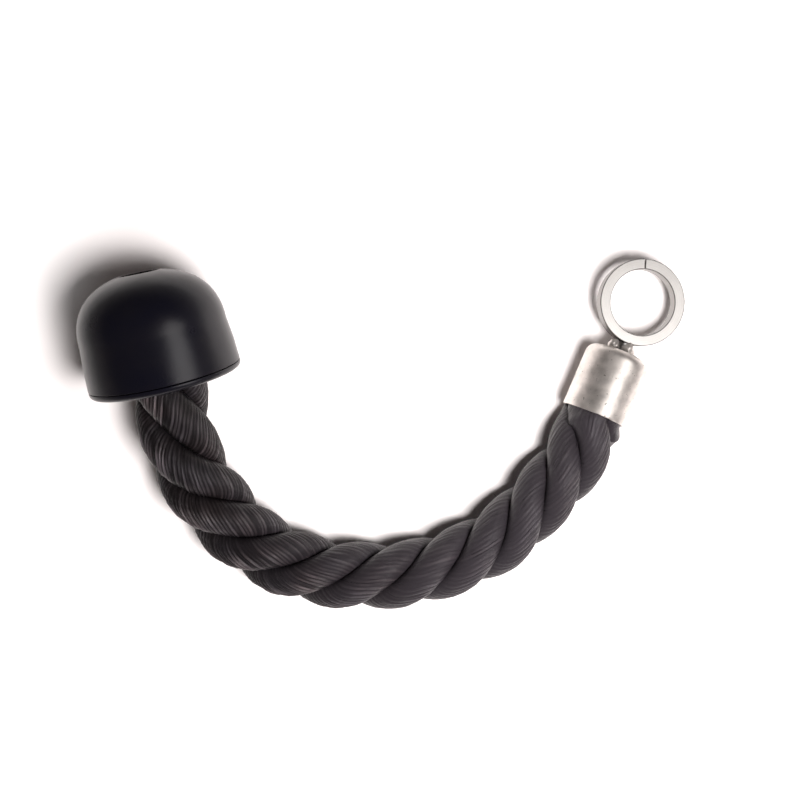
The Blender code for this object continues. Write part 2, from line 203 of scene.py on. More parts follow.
# %% [markdown]
# ## Rope: the yarns
# A strand is itself a bundle of eighteen yarns twisted the other way, and on a real rope
# that twist makes them run almost straight along the rope where they show. A bump texture
# could draw them, but the outline and the light would stay smooth. Here each strand is
# a curve with a round bevel profile of six points to a yarn, and the curve's tilt
# twists the whole tube, so that the yarns follow the mesh and few faces are needed. On
# the half towards the ferrule the photograph shows them calmer: less twisted and flatter.

# %% Sweep the strand tubes
YARNS = 18
POINTS_PER_YARN = 6
AROUND = YARNS * POINTS_PER_YARN
YARN_TWIST = 190                 # radians to a metre of strand
CALM_FROM, CALM_UNTIL = 0.105, 0.150    # the yarns turn calm between these lengths,
CALM_SHARE = 0.36                # and past them they are twisted less by this share

calm = smooth_step((along - CALM_FROM) / (CALM_UNTIL - CALM_FROM))

profile_curve = bpy.data.curves.new("strand_profile", "CURVE")
profile_line = profile_curve.splines.new("POLY")
profile_line.points.add(AROUND - 1)
profile_line.use_cyclic_u = True
for i, point in enumerate(profile_line.points):
    point.co = (math.cos(math.tau * i / AROUND), math.sin(math.tau * i / AROUND), 0, 1)
strand_profile = placed("strand_profile", profile_curve)


def mesh_of(curve):
    """The finished mesh of a curve that isn't needed any more."""
    swept = placed(curve.name, curve)
    depsgraph = bpy.context.evaluated_depsgraph_get()
    mesh = bpy.data.meshes.new_from_object(swept.evaluated_get(depsgraph))
    bpy.data.objects.remove(swept)
    return mesh


def swept_strand(number):
    """A twisted tube along one strand's middle line, as a mesh with one ring to a station."""
    line, _ = strand_lines[number]
    steps = np.linalg.norm(np.diff(line, axis=0, prepend=line[:1]), axis=1)
    tilts = np.cumsum(YARN_TWIST * (1 - CALM_SHARE * calm) * steps)
    curve = bpy.data.curves.new(f"strand_{number + 1}", "CURVE")
    curve.dimensions = "3D"
    curve.bevel_mode = "OBJECT"
    curve.bevel_object = strand_profile
    spline = curve.splines.new("POLY")
    spline.points.add(RINGS - 1)
    for i, point in enumerate(spline.points):
        point.co = (*line[i], 1)
        point.radius = strand_radius[i]
        point.tilt = tilts[i]
    return mesh_of(curve)


strand_meshes = [swept_strand(number) for number in range(STRAND_COUNT)]
print("points on each strand:", [len(mesh.vertices) for mesh in strand_meshes])

# %% [markdown]
# ## Rope: relief and pressure
# The yarns stand up from the valleys between them by most of a millimetre, and by less
# on the calm half, inside the arc and on each strand's side towards the bell, where the
# photograph shows them smooth and dark. Those sides and the creases also get painted
# shade. No two are alike, so noise along each yarn changes its height and pushes it
# sideways. Round strands would leave wide gaps between them. Here each is swollen a little
# at its sides and then cut back to the surface midway between it and its neighbour, which
# leaves the narrow dark creases of a real laid rope.

# %% Shape the yarns and press the strands together
YARN_DEPTH = 0.00085
YARN_SHAPE = (0.0, 0.40, 0.84, 1.0, 0.84, 0.40)      # height over a yarn, from valley to valley
YARN_UNEVEN, MOST_UNEVEN = 0.00090, 0.3      # how a yarn's height varies, and the noise's top
YARN_WANDER = 0.00180            # how far it strays sideways
NOISE_ALONG = 135                # noise cells to a metre along a yarn
NOISE_APART = (3.7, 91.3, 17.9)  # cells between two yarns, two strands, two kinds of noise
QUICK_NOISE, SLOW_NOISE, SLOWNESS = 0.65, 0.6, 0.37
SIDE_SWELL = 0.12                # how much fuller a strand is at its sides,
CALM_SWELL, BELL_SWELL = 0.5, 0.9       # shares more on the calm half and by the bell,
SIDE_PRESSED = 0.75              # and how much of the yarns' relief is pressed flat there
MOUTH_ROOM = 0.01310             # the ferrule presses the whole rope into this radius,
MOUTH_CLEAR = 0.0016             # and so it stays for this length before the mouth,
MOUTH_SWELL, MOUTH_FULLER = 0.80, 0.24       # where a strand is fuller, at its sides and all round,
MOUTH_FILL = 0.006               # as it becomes over this length before the mouth
CALM_FLATTER = 0.50              # how much flatter the yarns lie where they are calm,
INNER_FLATTER, INNER_PAINTED_SHADE = 0.60, 0.62     # how much flatter, and how much painted shade, inside the arc,
UPPER_FLATTER, UPPER_PAINTED_SHADE = 0.45, 0.78     # and on the strand's side towards the bell
BELL_REACH, INNER_FROM = 1.5, 0.5            # where the bell's part ends, the inner side begins,
UPPER_FROM, UPPER_SLOPE = 0.1, 2             # and the side towards the bell begins, and how fast
CREASE_FROM, CREASE_RANGE = 0.64, 0.26       # shares of the rope's radius at which creases end,
CREASE_PAINTED_SHADE, CALM_LESS = 0.6, 0.35         # how much painted shade they get, and less where calm
CREST_MEAN, CREST_UNEVEN = 0.86, 2.0         # brightness of a yarn, and how it follows height
PRESS_ROUNDS, LEAST_SLOPE = 6, 0.2           # of the search for the surface midway
CONTACT_GAP = 0.00012            # left between two strands


def yarn_noise(number, yarn, station, kind):
    """Noise from -1 to 1 along one yarn, slow and quick in one."""
    by_yarn, by_strand, by_kind = NOISE_APART
    place = Vector((yarn * by_yarn + number * by_strand,
                    station * ROPE_LENGTH / RINGS * NOISE_ALONG, kind * by_kind))
    return QUICK_NOISE * noise.noise(place) + SLOW_NOISE * noise.noise(place * SLOWNESS)


def shaped_strand(number):
    """A strand's points, ring by ring, and each one's height on its yarn times painted shade."""
    line, away = strand_lines[number]
    mesh = strand_meshes[number]
    places = np.empty(len(mesh.vertices) * 3)
    mesh.vertices.foreach_get("co", places)
    places = places.reshape(RINGS, AROUND, 3)
    spokes = places - line[:, None, :]
    spokes /= np.linalg.norm(spokes, axis=2)[:, :, None]
    uneven, wander = (np.array([[yarn_noise(number, y, i, kind) for y in range(YARNS)]
                                for i in range(RINGS)]) for kind in (1, 2))
    uneven = np.repeat(uneven, POINTS_PER_YARN, axis=1)
    crest = np.tile(YARN_SHAPE, YARNS)[None, :] * np.ones((RINGS, 1))
    side = 1 - np.einsum("ijk,ik->ij", spokes, away) ** 2
    filled = smooth_step(1 + (along - mouth_along) / MOUTH_FILL)
    by_bell = smooth_step(BELL_REACH - along / LOOSE_UNTIL)
    swell = SIDE_SWELL * (1 + CALM_SWELL * calm + BELL_SWELL * by_bell) + MOUTH_SWELL * filled
    reach = strand_radius[:, None] * (1 + swell[:, None] * side)
    reach *= 1 + MOUTH_FULLER * filled[:, None]
    strand_lean = (away * outward).sum(axis=1)[:, None]
    own_lean = np.einsum("ijk,ik->ij", spokes, outward)
    lean = (own_lean + LAY_RADIUS_SHARE * strand_lean) / (1 + LAY_RADIUS_SHARE)
    inner = smooth_step(INNER_FROM - lean)
    upper = smooth_step(UPPER_FROM - UPPER_SLOPE * np.einsum("ijk,ik->ij", spokes, heading))
    flatter = (1 - CALM_FLATTER * calm)[:, None] * (1 - SIDE_PRESSED * side ** 2)
    flatter *= (1 - INNER_FLATTER * inner) * (1 - UPPER_FLATTER * upper)
    relief = (crest - 1) * YARN_DEPTH + np.minimum(uneven, MOST_UNEVEN) * YARN_UNEVEN * crest
    reach += relief * flatter
    tangent = np.roll(spokes, -1, axis=1) - np.roll(spokes, 1, axis=1)
    tangent /= np.linalg.norm(tangent, axis=2)[:, :, None]
    drift = (wander + np.roll(wander, 1, axis=1)) / 2
    drift = np.repeat(drift, POINTS_PER_YARN, axis=1) * YARN_WANDER
    places = line[:, None, :] + spokes * reach[:, :, None] + tangent * drift[:, :, None]
    from_middle = places - middle[:, None, :]
    far = np.linalg.norm(from_middle, axis=2)
    room = MOUTH_ROOM + np.maximum(mouth_along - along - MOUTH_CLEAR, 0)
    from_middle *= np.minimum(1, room[:, None] / far)[:, :, None]
    far_share = far / (strand_radius * (1 + LAY_RADIUS_SHARE))[:, None]
    # Painted shade: darker in the creases between strands, inside the arc and on each strand's side
    # towards the bell. It goes to the material with the yarn's height.
    out = smooth_step((far_share - CREASE_FROM) / CREASE_RANGE)
    lit = 1 - (CREASE_PAINTED_SHADE - CALM_LESS * calm[:, None]) * (1 - out)
    lit *= (1 - INNER_PAINTED_SHADE * inner) * (1 - UPPER_PAINTED_SHADE * upper)
    return middle[:, None, :] + from_middle, crest * (CREST_MEAN + CREST_UNEVEN * uneven) * lit


def pressed(places, number):
    """The same points, held back where they would enter a neighbouring strand."""
    line, _ = strand_lines[number]
    for other in range(STRAND_COUNT):
        if other == number:
            continue
        tree = KDTree(RINGS)
        for i, place in enumerate(strand_lines[other][0]):
            tree.insert(place, i)
        tree.balance()
        for i in range(RINGS):
            for j in range(AROUND):
                own = places[i, j] - line[i]
                own_far = math.sqrt(own @ own)
                near, _, far = tree.find(places[i, j])
                if far - own_far >= CONTACT_GAP:
                    continue
                for _ in range(PRESS_ROUNDS):
                    toward = places[i, j] - np.array(near)
                    far = math.sqrt(toward @ toward)
                    slope = max(LEAST_SLOPE, -(own @ toward) / (own_far * far))
                    back = (CONTACT_GAP - far + own_far) / (1 + slope)
                    own *= (own_far - back) / own_far
                    own_far -= back
                    places[i, j] = line[i] + own
    return places


# each strand's points, and its yarn height times painted shade
shaped = []
for number in range(STRAND_COUNT):
    places, crest = shaped_strand(number)
    shaped.append((pressed(places, number), crest))
print("lowest point of the rope:", round(min(p[:, :, 2].min() for p, _ in shaped) * 1000, 2), "mm")

# %% [markdown]
# ## Rope: stray fibres
# Even a new rope is a little hairy: short stiff fibres stand off the yarns here and there
# and break its clean outline. A particle system would grow hundreds of them with less
# code, but its hairs aren't part of the mesh. So a few dozen thin tubes start just under
# the yarns, rise a little and lie mostly along the rope.

# %% Stray fibres
STRAY_COUNT, STRAY_RADIUS, STRAY_LENGTH = 44, 0.00008, 0.0050
STRAY_POINTS = 6
STRAY_MARGIN = 0.006             # no fibres this near to the bell or the ferrule
STRAY_RISE, STRAY_TILT = 0.35, 0.4      # shares of the length: off the yarns, and up or down
STRAY_ROOTED, STRAY_OFF_FLOOR = 3, 2    # radii below the surface, and above the floor
STRAY_SEED = 11

picks = np.random.default_rng(STRAY_SEED)
first_free, last_free = np.searchsorted(along, (STRAY_MARGIN, mouth_along - STRAY_MARGIN))
stray_curve = bpy.data.curves.new("stray_fibres", "CURVE")
stray_curve.dimensions = "3D"
stray_curve.bevel_depth = STRAY_RADIUS
stray_curve.bevel_resolution = 0
stray_curve.use_fill_caps = True
for _ in range(STRAY_COUNT):
    i, j = picks.integers(first_free, last_free), picks.integers(AROUND)
    root = shaped[picks.integers(STRAND_COUNT)][0][i, j]
    away = (root - middle[i]) / np.linalg.norm(root - middle[i])
    lie = heading[i] * picks.uniform(-1, 1)
    lie[2] += picks.uniform(-STRAY_TILT, STRAY_TILT)
    fibre = stray_curve.splines.new("POLY")
    fibre.points.add(STRAY_POINTS - 1)
    for point, t in zip(fibre.points, np.linspace(0, 1, STRAY_POINTS)):
        rise = STRAY_RISE * STRAY_LENGTH * math.sin(2 * t) - STRAY_ROOTED * STRAY_RADIUS
        x, y, z = root + away * rise + lie * STRAY_LENGTH * t
        point.co = (x, y, max(z, STRAY_OFF_FLOOR * STRAY_RADIUS), 1)
stray_mesh = mesh_of(stray_curve)
print("stray fibres:", len(stray_curve.splines))

# %% [markdown]
# ## Rope: one piece
# The three tubes and the fibres are joined in one mesh, because they are one cord that
# bends as one. The height on the yarn goes along as an attribute, lowered by painted shade
# in the creases and on the shaded sides, so that the material can darken and dull them.

# %% Join the strands
rope_shape = bmesh.new()
# the yarn's height times its painted shade, which the material reads
crest_and_shade_layer = rope_shape.verts.layers.float.new("yarn_crest_and_shade")
for mesh, (places, _) in zip(strand_meshes, shaped):
    mesh.vertices.foreach_set("co", places.ravel())
crests_and_shade = [crest.ravel() for _, crest in shaped] + [np.ones(len(stray_mesh.vertices))]
for mesh, heights in zip((*strand_meshes, stray_mesh), crests_and_shade):
    first = len(rope_shape.verts)
    rope_shape.from_mesh(mesh)
    rope_shape.verts.ensure_lookup_table()
    for vert, height in zip(rope_shape.verts[first:], heights):
        vert[crest_and_shade_layer] = height
open_edges = [edge for edge in rope_shape.edges if edge.is_boundary]
bmesh.ops.holes_fill(rope_shape, edges=open_edges, sides=0)
bmesh.ops.recalc_face_normals(rope_shape, faces=rope_shape.faces)
rope_mesh = bpy.data.meshes.new("laid_rope")
rope_shape.to_mesh(rope_mesh)
rope_shape.free()
rope_mesh.shade_smooth()
rope = placed("laid_rope", rope_mesh)
bpy.data.objects.remove(strand_profile)
print("rope faces:", len(rope_mesh.polygons))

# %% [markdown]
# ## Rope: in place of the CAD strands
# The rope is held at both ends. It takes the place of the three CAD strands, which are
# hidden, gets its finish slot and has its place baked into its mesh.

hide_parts("rope_strand_1", "rope_strand_2", "rope_strand_3")
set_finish(rope, "rope_fibre")
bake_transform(rope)
print("cord:", round(ROPE_LENGTH, 4), "m long, 30 mm across its strands")

# %% [markdown]
# ## Helpers for turned pieces
# Bell, ferrule and ring are all turned shapes. A half outline of a few points is spun
# round an axis, and the sharp edges that remain are bevelled, since no moulded or
# machined edge is ever perfectly sharp and the small round is what catches light.

# %% Spin an outline
MERGED_WITHIN = 1e-6
ROUND_STEPS, CLEAR_ANGLE = 3, 35


def weigh_normals(mesh):
    """Shading normals weighted by area, so that a flat face stays flat beside a small round."""
    normals = np.zeros((len(mesh.vertices), 3))
    for face in mesh.polygons:
        normals[list(face.vertices)] += np.array(face.normal) * face.area
    normals /= np.linalg.norm(normals, axis=1)[:, None]
    mesh.normals_split_custom_set_from_vertices(normals)


def finish_piece(shape, name, matrix, body, replaced, slot):
    """A bmesh as an object placed in its mesh, tied to its body, hiding the CAD node it replaces."""
    bmesh.ops.transform(shape, matrix=matrix, verts=shape.verts)
    mesh = bpy.data.meshes.new(name)
    shape.to_mesh(mesh)
    shape.free()
    mesh.shade_smooth()
    weigh_normals(mesh)
    piece = placed(name, mesh)
    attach(piece, body)
    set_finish(piece, slot)
    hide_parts(replaced)
    print(name, "has", len(mesh.polygons), "faces")
    return piece


def spun(outline, steps, closed=True):
    """A bmesh of an outline of (radius, height) points, spun round Z."""
    shape = bmesh.new()
    verts = [shape.verts.new((r, 0, z)) for r, z in outline]
    pairs = list(zip(verts, verts[1:])) + ([(verts[-1], verts[0])] if closed else [])
    edges = [shape.edges.new(pair) for pair in pairs]
    bmesh.ops.spin(shape, geom=verts + edges, cent=(0, 0, 0), axis=(0, 0, 1),
                   angle=math.tau, steps=steps, use_merge=True)
    bmesh.ops.remove_doubles(shape, verts=shape.verts, dist=MERGED_WITHIN)
    bmesh.ops.recalc_face_normals(shape, faces=shape.faces)
    return shape


def soften(shape, width):
    """Bevels the edges where two faces meet at a clear angle."""
    limit = math.radians(CLEAR_ANGLE)
    edges = [e for e in shape.edges if len(e.link_faces) == 2 and e.calc_face_angle() > limit]
    bmesh.ops.bevel(shape, geom=edges, offset=width, offset_type="OFFSET", segments=ROUND_STEPS,
                    profile=0.5, affect="EDGES", clamp_overlap=True, material=-1)


def quarter_turn(steps):
    """Angles from 0 to 90 degrees."""
    return [math.radians(90 / steps * k) for k in range(steps + 1)]


def seat(origin, axis):
    """A matrix whose Z lies along axis, with its Y as near to upright as can be."""
    z = axis.normalized()
    x = Vector((0, 0, 1)).cross(z).normalized()
    return Matrix.Translation(origin) @ Matrix((x, z.cross(x), z)).transposed().to_4x4()


# %% [markdown]
# ## Bell
# The bell is a hollow rubber moulding that closes over a thick base disc. Its dome is
# fuller than a sphere, which a superellipse with a power of 2.3 gives. A sphere cut
# and scaled would have been quicker, but the photograph shows a nearly straight skirt
# that turns into the dome over a tight shoulder. The round hole on top shows edge-on.

# %% The bell's cover
BELL_RADIUS, BELL_HEIGHT, BELL_WALL = 0.0329, 0.0478, 0.0047
SKIRT_HEIGHT, SKIRT_TOP_SHARE, DOME_POWER = 0.022, 0.952, 2.3
SKIRT_LOW_SHARE, SKIRT_LOW_HEIGHT = 0.984, 0.0127
TOP_HOLE_RADIUS, CAVITY_HOLE_RADIUS = 0.0089, 0.0116
BASE_LIP, BASE_HEIGHT = 0.003, 0.012
FIT = 0.0003                     # clearance between pieces that are pressed together
RUBBER_ROUND = 0.0003
BELL_STEPS, DOME_STEPS, CAVITY_STEPS = 128, 26, 10


def dome_outline(radius, base, edge_radius, edge_height, steps):
    """A superellipse from its edge at the hole down to its full radius."""
    rise = (1 - (edge_radius / radius) ** DOME_POWER) ** (1 / DOME_POWER)
    apex = base + (edge_height - base) / rise
    start = math.asin((edge_radius / radius) ** (DOME_POWER / 2))
    points = []
    for i in range(steps + 1):
        angle = start + (math.pi / 2 - start) * i / steps
        points.append((radius * math.sin(angle) ** (2 / DOME_POWER),
                       base + (apex - base) * max(math.cos(angle), 0) ** (2 / DOME_POWER)))
    return points


cavity_radius = BELL_RADIUS - BELL_WALL
cavity_top = BELL_HEIGHT - BELL_WALL
cover_outline = dome_outline(BELL_RADIUS * SKIRT_TOP_SHARE, SKIRT_HEIGHT,
                             TOP_HOLE_RADIUS, BELL_HEIGHT, DOME_STEPS)
cover_outline += [(BELL_RADIUS * SKIRT_LOW_SHARE, SKIRT_LOW_HEIGHT), (BELL_RADIUS, BASE_LIP + FIT / 2)]
cover_outline += [(cavity_radius, BASE_LIP + FIT / 2), (cavity_radius, BASE_HEIGHT + FIT)]
cover_outline += reversed(dome_outline(cavity_radius * SKIRT_TOP_SHARE, SKIRT_HEIGHT,
                                       CAVITY_HOLE_RADIUS, cavity_top, CAVITY_STEPS))
cover_outline += [(TOP_HOLE_RADIUS, cavity_top)]
bell_seat = seat(BELL_MOUTH, BELL_AXIS)
cover = spun(cover_outline, BELL_STEPS)
soften(cover, RUBBER_ROUND)
bell_cover = finish_piece(cover, "bell_cover", bell_seat, "bell_end", "bell_dome", "moulded_rubber")

# %% The bell's base disc and top plug
BORE_RADIUS = 0.016914
LIP_ROUND, LIP_STEPS = 0.0022, 9
PLUG_SUNK = 0.0022               # how far the plug sits below the rim of the hole
FLANGE_WIDER, FLANGE_THICK = 0.0024, 0.0016
PLUG_STEPS = 64

lip_outline = [(BELL_RADIUS - LIP_ROUND + LIP_ROUND * math.cos(a), LIP_ROUND - LIP_ROUND * math.sin(a))
               for a in quarter_turn(LIP_STEPS)]
disc_outline = [(BORE_RADIUS, BASE_HEIGHT), (cavity_radius - FIT, BASE_HEIGHT),
                (cavity_radius - FIT, BASE_LIP - FIT / 2), (BELL_RADIUS, BASE_LIP - FIT / 2)]
disc_outline += lip_outline + [(BORE_RADIUS, 0)]
disc = spun(disc_outline, BELL_STEPS)
soften(disc, RUBBER_ROUND)
bell_disc = finish_piece(disc, "bell_base_disc", bell_seat, "bell_end", "bell_base", "moulded_rubber")

plug_top, flange_top = BELL_HEIGHT - PLUG_SUNK, cavity_top - FIT
plug_radius, flange_radius = TOP_HOLE_RADIUS - FIT, TOP_HOLE_RADIUS + FLANGE_WIDER
plug = spun([(0, plug_top), (plug_radius, plug_top), (plug_radius, flange_top),
             (flange_radius, flange_top), (flange_radius, flange_top - FLANGE_THICK),
             (0, flange_top - FLANGE_THICK)], PLUG_STEPS, closed=False)
soften(plug, RUBBER_ROUND)
bell_plug = finish_piece(plug, "bell_plug", bell_seat, "bell_end", "bell_top_plug", "moulded_rubber")

# %% [markdown]
# ## Ferrule
# The ferrule is a cup drawn from plated sheet: straight wall, round shoulder and a
# small closed end with a hole for the swivel. Drawn cups are never quite true, so slow
# noise presses the wall in by up to a tenth of a millimetre. That is enough to make the
# bands of reflected light run a little unevenly. A bump map would do that too, but it
# would leave the cup's outline true.

# %% The ferrule
FERRULE_RADIUS, FERRULE_LENGTH = 0.01475, 0.031
FERRULE_WALL, FERRULE_TOP_WALL, FERRULE_SHOULDER = 0.0015, 0.0024, 0.0044
STUD_RADIUS = 0.003
CUP_ROUND = 0.0004
CUP_STEPS, WALL_STEPS, SHOULDER_STEPS = 128, 18, 10
DENT_DEPTH = 0.00006             # dents only go inwards, so the cup still rests on the floor
DENT_CELLS = 160

cup_radius = FERRULE_RADIUS - FERRULE_WALL
shoulder_arc = [(FERRULE_RADIUS - FERRULE_SHOULDER * (1 - math.sin(a)),
                 FERRULE_LENGTH - FERRULE_SHOULDER * (1 - math.cos(a)))
                for a in quarter_turn(SHOULDER_STEPS)]
wall_line = [(FERRULE_RADIUS, (FERRULE_LENGTH - FERRULE_SHOULDER) * (1 - k / WALL_STEPS))
             for k in range(1, WALL_STEPS)]
cup_outline = [(STUD_RADIUS + FIT, FERRULE_LENGTH), *shoulder_arc, *wall_line]
cup_outline += [(FERRULE_RADIUS, 0), (cup_radius, 0), (cup_radius, FERRULE_LENGTH - FERRULE_TOP_WALL),
                (STUD_RADIUS + FIT, FERRULE_LENGTH - FERRULE_TOP_WALL)]
cup = spun(cup_outline, CUP_STEPS)
soften(cup, CUP_ROUND)
for vert in cup.verts:
    if math.hypot(vert.co.x, vert.co.y) > cup_radius + CUP_ROUND:
        push = (noise.noise(vert.co * DENT_CELLS) - 1) * DENT_DEPTH
        vert.co.xy *= 1 + push / FERRULE_RADIUS
ferrule_seat = seat(FERRULE_MOUTH, FERRULE_AXIS)
ferrule_cup = finish_piece(cup, "ferrule_cup", ferrule_seat, "ferrule_end", "ferrule", "satin_nickel")

# %% [markdown]
# ## Pull ring
# The ring is square bar bent round until its ends meet. Spinning the bar's section by
# a little less than a full turn leaves the butt seam as a real gap with two end faces,
# where cutting a closed ring would need a boolean. The ring stands turned by six
# degrees on its swivel, so its inner wall shows on one side. A UV map across the bar's
# section goes along, by which the material paints shade along the bar's edges and walls.

# %% The ring with its seam
RING_CENTRE, RING_RADIUS, RING_BAR, RING_DEPTH = 0.0561, 0.0199, 0.0047, 0.0054
RING_SWIVEL = math.radians(6)
SEAM_TURN = math.radians(20)
SEAM_GAP = 0.00035
RING_ROUND = 0.00025
RING_STEPS = 144

swivel_seat = ferrule_seat @ Matrix.Rotation(RING_SWIVEL, 4, "Z")
ring_seat = swivel_seat @ Matrix.Translation((0, 0, RING_CENTRE)) @ Matrix.Rotation(-math.pi / 2, 4, "X")
ring = bmesh.new()
half = RING_DEPTH / 2
corners = [ring.verts.new((r, 0, z)) for r, z in ((RING_RADIUS - RING_BAR, half), (RING_RADIUS, half),
                                                  (RING_RADIUS, -half), (RING_RADIUS - RING_BAR, -half))]
section = [ring.edges.new(pair) for pair in zip(corners, corners[1:] + corners[:1])]
gap_turn = SEAM_GAP / RING_RADIUS
bmesh.ops.rotate(ring, verts=corners, cent=(0, 0, 0),
                 matrix=Matrix.Rotation(SEAM_TURN - math.pi / 2 + gap_turn / 2, 3, "Z"))
bmesh.ops.spin(ring, geom=corners + section, cent=(0, 0, 0), axis=(0, 0, 1),
               angle=math.tau - gap_turn, steps=RING_STEPS, use_merge=False)
bmesh.ops.holes_fill(ring, edges=[e for e in ring.edges if e.is_boundary], sides=0)
bmesh.ops.recalc_face_normals(ring, faces=ring.faces)
soften(ring, RING_ROUND)
section_map = ring.loops.layers.uv.new("section")
for face in ring.faces:
    for loop in face.loops:
        x, y, z = loop.vert.co
        across = (math.hypot(x, y) - RING_RADIUS + RING_BAR) / RING_BAR
        loop[section_map].uv = across, z / RING_DEPTH + 0.5
bar_ring = finish_piece(ring, "bar_ring", ring_seat, "ring_end", "pull_ring", "polished_steel")

# %% [markdown]
# ## Swivel neck and welds
# Between ferrule and ring a short stud shows, and two beads of weld hold the ring to
# it. A bead is a ball of metal that has run: an icosphere, flattened where it wets the
# two parts and roughened with two sizes of noise. Plain spheres would look stuck on.

# %% The weld beads and the stud
NECK_LENGTH = 0.0052
BEAD_SEED = 3100                 # sets the two beads apart in the noise
BEAD_NOISE = ((1.3, 0.22), (4.1, 0.08))      # cells across a bead, and their depth
BEADS = {                        # each bead's place along the ring's foot, and its half sizes
    "ring_weld_left": (0.0042, (0.0024, 0.0030, 0.0027)),
    "ring_weld_right": (-0.0022, (0.0036, 0.0050, 0.0034)),
}


def weld_bead(name, offset, halves):
    """One uneven bead beside the stud."""
    bead = bmesh.new()
    bmesh.ops.create_icosphere(bead, subdivisions=4, radius=1)
    away = Vector((offset * BEAD_SEED, 0, 0))
    for vert in bead.verts:
        vert.co *= 1 + sum(noise.noise(vert.co * cells + away) * depth for cells, depth in BEAD_NOISE)
    bmesh.ops.scale(bead, vec=halves, verts=bead.verts)
    bmesh.ops.translate(bead, vec=(offset, 0, FERRULE_LENGTH + NECK_LENGTH / 2), verts=bead.verts)
    return finish_piece(bead, name + "_bead", swivel_seat, "ring_end", name, "weld_steel")


weld_beads = [weld_bead(name, *sizes) for name, sizes in BEADS.items()]
HEAD_BOTTOM, HEAD_TOP, HEAD_RADIUS = 0.0238, 0.0268, 0.0072
STUD_ROUND, STUD_STEPS = 0.0002, 48
stud_top = FERRULE_LENGTH + NECK_LENGTH - FIT
stud = spun([(0, stud_top), (STUD_RADIUS, stud_top), (STUD_RADIUS, HEAD_TOP), (HEAD_RADIUS, HEAD_TOP),
             (HEAD_RADIUS, HEAD_BOTTOM), (0, HEAD_BOTTOM)], STUD_STEPS, closed=False)
soften(stud, STUD_ROUND)
neck_stud = finish_piece(stud, "neck_stud", swivel_seat, "ring_end", "swivel_stud", "plated_steel")

# %% [markdown]
# ## Materials
# Each finish is built from noise in metres on the object's own coordinates, so it
# moves with the piece. Picture textures would need unwrapped meshes and files of their
# own. Only the ring and the rope use a UV map too. The rope's came with its curves and
# lets the fibres follow the yarns.

# %% Helpers for materials
def new_material(name, color, roughness, metallic=0.0):
    """A material from plain values, the Nodes that refine it, and the socket of its place."""
    material = bpy.data.materials.new(name)
    material.use_nodes = True
    shader = material.node_tree.nodes["Principled BSDF"]
    shader.inputs["Base Color"].default_value = (*color, 1)
    shader.inputs["Roughness"].default_value = roughness
    shader.inputs["Metallic"].default_value = metallic
    material.diffuse_color = (*color, 1)
    nodes = Nodes(material)
    return material, nodes, nodes.add("ShaderNodeTexCoord").outputs["Object"]


class Nodes:
    """Adds nodes to a material or world and links them, one short line to a node."""

    def __init__(self, owner, emptied=False):
        self.tree = owner.node_tree
        if emptied:
            self.tree.nodes.clear()
        self.shader = self.tree.nodes.get("Principled BSDF")

    def add(self, kind, links=(), **settings):
        """A node with its incoming links; settings are its own or values of its sockets."""
        node = self.tree.nodes.new(kind)
        for name, value in settings.items():
            if hasattr(node, name):
                setattr(node, name, value)
            else:
                node.inputs[name.replace("_", " ").title()].default_value = value
        for source, target in links:
            self.tree.links.new(source, node.inputs[target])
        return node

    def feed(self, sockets, values):
        """Links each socket to its value if that is a socket too, and sets it if it is plain."""
        for socket, value in zip(sockets, values):
            if isinstance(value, bpy.types.NodeSocket):
                self.tree.links.new(value, socket)
            else:
                socket.default_value = value if isinstance(value, float) else (*value, 1)

    def math(self, operation, *values):
        made = self.add("ShaderNodeMath", operation=operation)
        self.feed(made.inputs, values)
        return made.outputs[0]

    def scaled(self, vector, scale):
        return self.add("ShaderNodeMapping", [(vector, "Vector")], Scale=scale).outputs["Vector"]

    def noise(self, vector, scale, detail=3.0):
        made = self.add("ShaderNodeTexNoise", [(vector, "Vector")], Scale=scale, Detail=detail)
        return made.outputs["Fac"]

    def ramp(self, value, stops):
        """A colour ramp from (position, colour) stops."""
        made = self.add("ShaderNodeValToRGB", [(value, "Fac")])
        for _ in range(len(stops) - 2):
            made.color_ramp.elements.new(0.5)
        for element, (place, color) in zip(made.color_ramp.elements, stops):
            element.position = place
            element.color = (*color, 1) if len(color) == 3 else color
        return made.outputs["Color"]

    def grey_ramp(self, value, stops):
        return self.ramp(value, [(place, (grey, grey, grey)) for place, grey in stops])

    def mix(self, share, a, b, blend="MIX"):
        """Mixes two colours; share, a and b are sockets or plain values."""
        made = self.add("ShaderNodeMix", data_type="RGBA", blend_type=blend)
        self.feed((made.inputs[0], made.inputs[6], made.inputs[7]), (share, a, b))
        return made.outputs[2]

    def bump(self, height, distance, strength=1.0, under=None):
        made = self.add("ShaderNodeBump", [(height, "Height")], Strength=strength, Distance=distance)
        if under is not None:
            self.tree.links.new(under, made.inputs["Normal"])
        return made.outputs["Normal"]

    def give(self, **sockets):
        for name, source in sockets.items():
            self.tree.links.new(source, self.shader.inputs[name.replace("_", " ")])


# %% [markdown]
# ## Rope fibre
# The finest threads are noise drawn out along the yarns, which colours them, changes
# their gloss and gives them relief. Painted shade makes the valleys between the yarns,
# the creases and the shaded sides darker than the tops of the yarns, and duller. Towards
# the ferrule the photograph is evenly grey, so a painted haze of light, a plain paler
# tone, covers the threads more and more from left to right.

# %% The rope's material
FIBRES_AROUND, FIBRES_ALONG, FIBRE_DEPTH = 150, 95, 0.00018
ROPE_CLOUDS = 60                 # cells to a metre
THREAD = [(0.30, (0.021, 0.018, 0.021)), (0.55, (0.064, 0.056, 0.064)), (0.78, (0.170, 0.150, 0.172))]
WARMER = (0.92, 0.82, 0.74)
# painted haze of light towards the ferrule: its plain tone and its even gloss level
PAINTED_HAZE, HAZE_SPECULAR = (0.029, 0.0252, 0.0295), (0.36, 0.36, 0.36)
HAZE_FROM, HAZE_UNTIL, HAZE_MOST = -0.085, 0.03, 0.72      # from x, to x, and its share there


